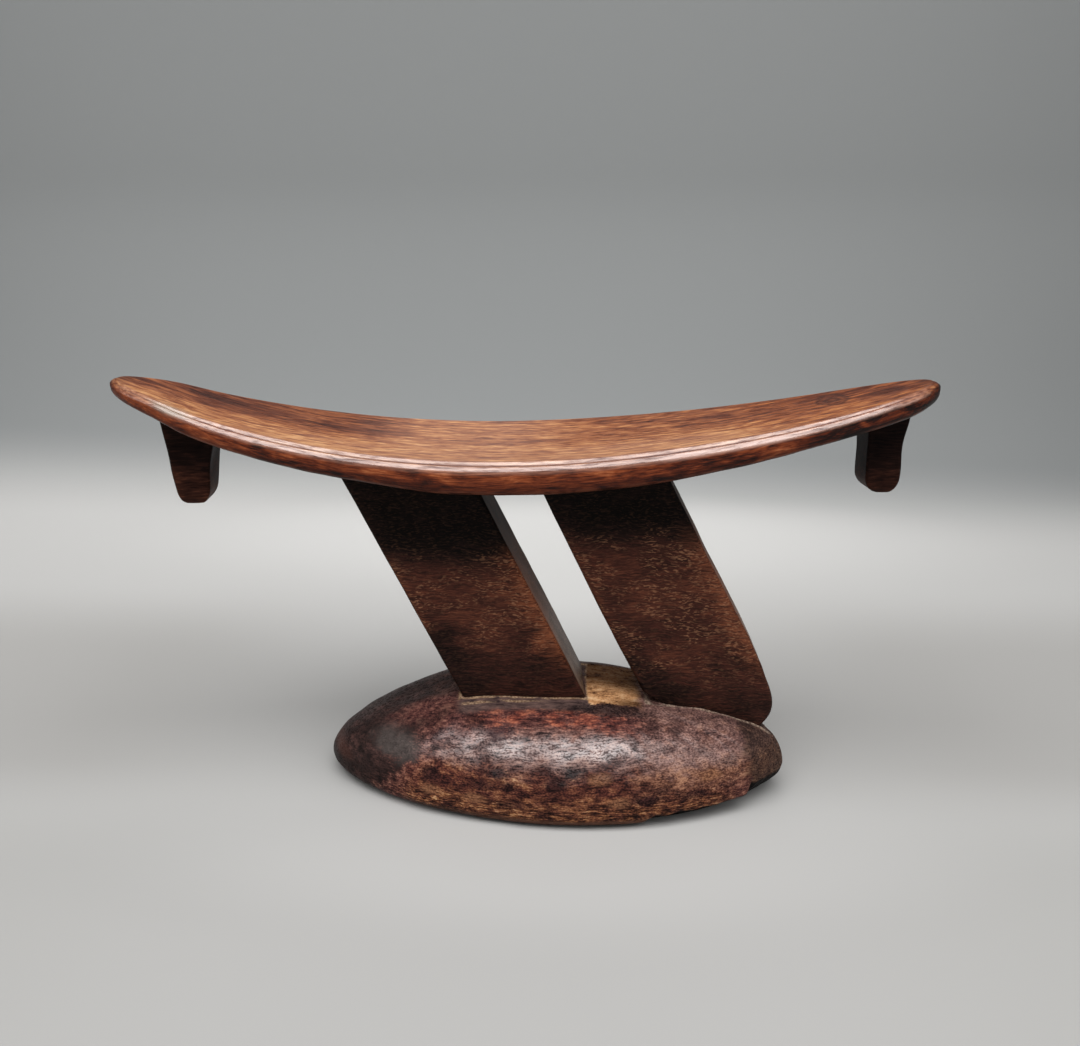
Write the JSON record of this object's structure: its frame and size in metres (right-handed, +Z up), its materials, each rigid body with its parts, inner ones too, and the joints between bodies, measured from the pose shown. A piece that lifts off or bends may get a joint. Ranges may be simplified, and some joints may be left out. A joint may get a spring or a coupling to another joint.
{
  "type": "carved wooden headrest",
  "caption": "Carved wooden headrest: a boat-shaped curved platform with hanging lugs, held by parallel leaning struts on a domed foot.",
  "frame": {"origin": "on the floor, in the plane of the foot's underside, below the middle of the platform's length", "axes": "+X along the platform to the end that the struts lean away from, +Y to the back as pictured, +Z up"},
  "size_m": [0.3, 0.087, 0.1566],
  "materials": {
    "platform_wood": "handled and waxed, warm red-brown, satin",
    "strut_wood": "dark brown, open level grain, low sheen",
    "foot_wood": "dark red-brown, mottled, worn to a gloss",
    "lug_wood": "dark brown, low sheen"
  },
  "bodies": {
    "root": {"head_platform": "platform_wood", "left_strut": "strut_wood", "right_strut": "strut_wood", "foot": "foot_wood", "left_lug": "lug_wood", "right_lug": "lug_wood"}
  },
  "joints": []
}
